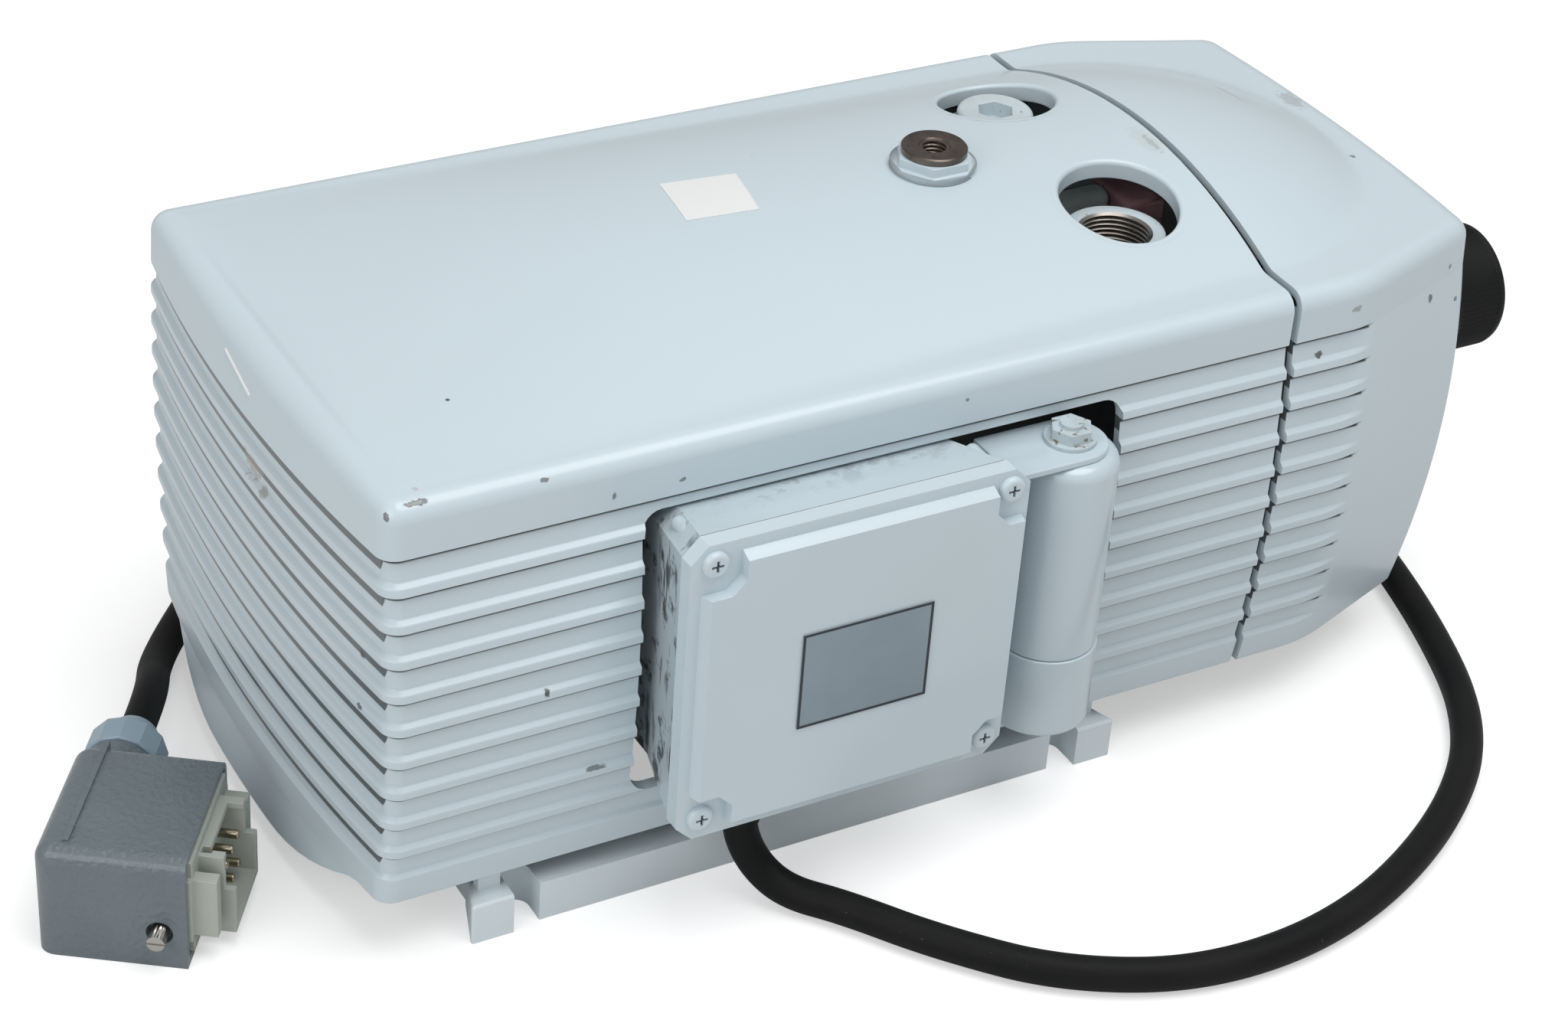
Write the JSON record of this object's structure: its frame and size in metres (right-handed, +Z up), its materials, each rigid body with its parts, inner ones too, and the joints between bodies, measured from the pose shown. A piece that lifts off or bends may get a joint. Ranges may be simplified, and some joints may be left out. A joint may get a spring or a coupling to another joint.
{
  "type": "vacuum pump",
  "caption": "Dry rotary vane vacuum pump under a ribbed sound hood, with terminal box, capacitor, regulating knob, suction port and a cord with a heavy-duty connector.",
  "frame": {"origin": "on the floor under the middle of the four foot slots of the base", "axes": "+X from the fan end to the regulator end, -Y to the side with the terminal box, +Z up"},
  "size_m": [0.5598, 0.4137, 0.205],
  "materials": {
    "paint": "gloss",
    "cast_iron": "rough",
    "aluminium": "satin",
    "steel": "satin",
    "copper": "lacquered",
    "brass": "satin",
    "rubber": "matte",
    "sealing_strip": "matte",
    "black_plastic": "satin",
    "grey_plastic": "satin",
    "light_plastic": "satin",
    "carbon": "matte",
    "filter_fleece": "matte"
  },
  "bodies": {
    "frame": {"main_hood": "paint", "end_cap": "paint", "base_rail_front": "paint", "base_rail_rear": "paint", "base_cross_left": "paint", "base_cross_right": "paint", "closing_plug": "paint", "stud_nut": "paint", "terminal_box": "paint", "terminal_lid": "paint", "lid_screws": "paint", "capacitor_bracket": "paint", "capacitor_can": "paint", "capacitor_cup": "paint", "capacitor_nut": "paint", "pump_cover_inner": "cast_iron", "pump_cover_outer": "cast_iron", "pump_cylinder": "cast_iron", "motor_housing": "aluminium", "end_shield": "aluminium", "rating_plate": "aluminium", "connector_hood": "aluminium", "foot_left": "steel", "foot_right": "steel", "stator_core": "steel", "bearing_left": "steel", "bearing_middle": "steel", "bearing_right": "steel", "fan_cowl": "steel", "suction_flange": "steel", "outlet_flange": "steel", "lifting_stud": "steel", "regulator_ring_nut": "steel", "filter_holder": "steel", "connector_pegs": "steel", "windings": "copper", "regulator_body": "brass", "connector_pins": "brass", "hood_pads": "rubber", "buffers_left": "rubber", "buffers_right": "rubber", "supply_cord": "rubber", "seam_band": "sealing_strip", "lid_gasket": "sealing_strip", "cable_gland": "grey_plastic", "blanking_plug": "grey_plastic", "connector_gland": "grey_plastic", "terminal_block": "light_plastic", "connector_insert": "light_plastic", "filter_cartridge": "filter_fleece"},
    "rotor": {"shaft": "steel", "rotor_core": "aluminium", "cooling_fan": "black_plastic", "pump_rotor": "cast_iron", "vanes": "carbon"},
    "regulator_handle": {"regulator_knob": "black_plastic", "regulator_spindle": "steel"},
    "regulator_plunger": {"regulator_cone": "brass"},
    "valve": {"valve_disc": "black_plastic", "valve_spring": "steel"}
  },
  "joints": [
    {"name": "rotor_spin", "type": "hinge", "parent": "frame", "child": "rotor", "pos_m": [0, 0, 0.1036], "axis": [1, 0, 0], "continuous": true},
    {"name": "regulator_turn", "type": "hinge", "parent": "frame", "child": "regulator_handle", "pos_m": [0.2943, -0.0468, 0.1287], "axis": [1, 0, 0], "range_deg": [0, 720]},
    {"name": "regulator_cone_slide", "type": "slide", "parent": "frame", "child": "regulator_plunger", "axis": [1, 0, 0], "range_m": [0, 0.0041]},
    {"name": "valve_slide", "type": "slide", "parent": "frame", "child": "valve", "axis": [0, 0, -1], "range_m": [0, 0.005], "stiffness_N_per_m": 60, "springref_m": -0.002, "deforming": ["valve_spring"]}
  ],
  "couplings": [
    {"joint": "regulator_cone_slide", "follows": "regulator_turn", "m_per_rad": 0.00031831}
  ]
}
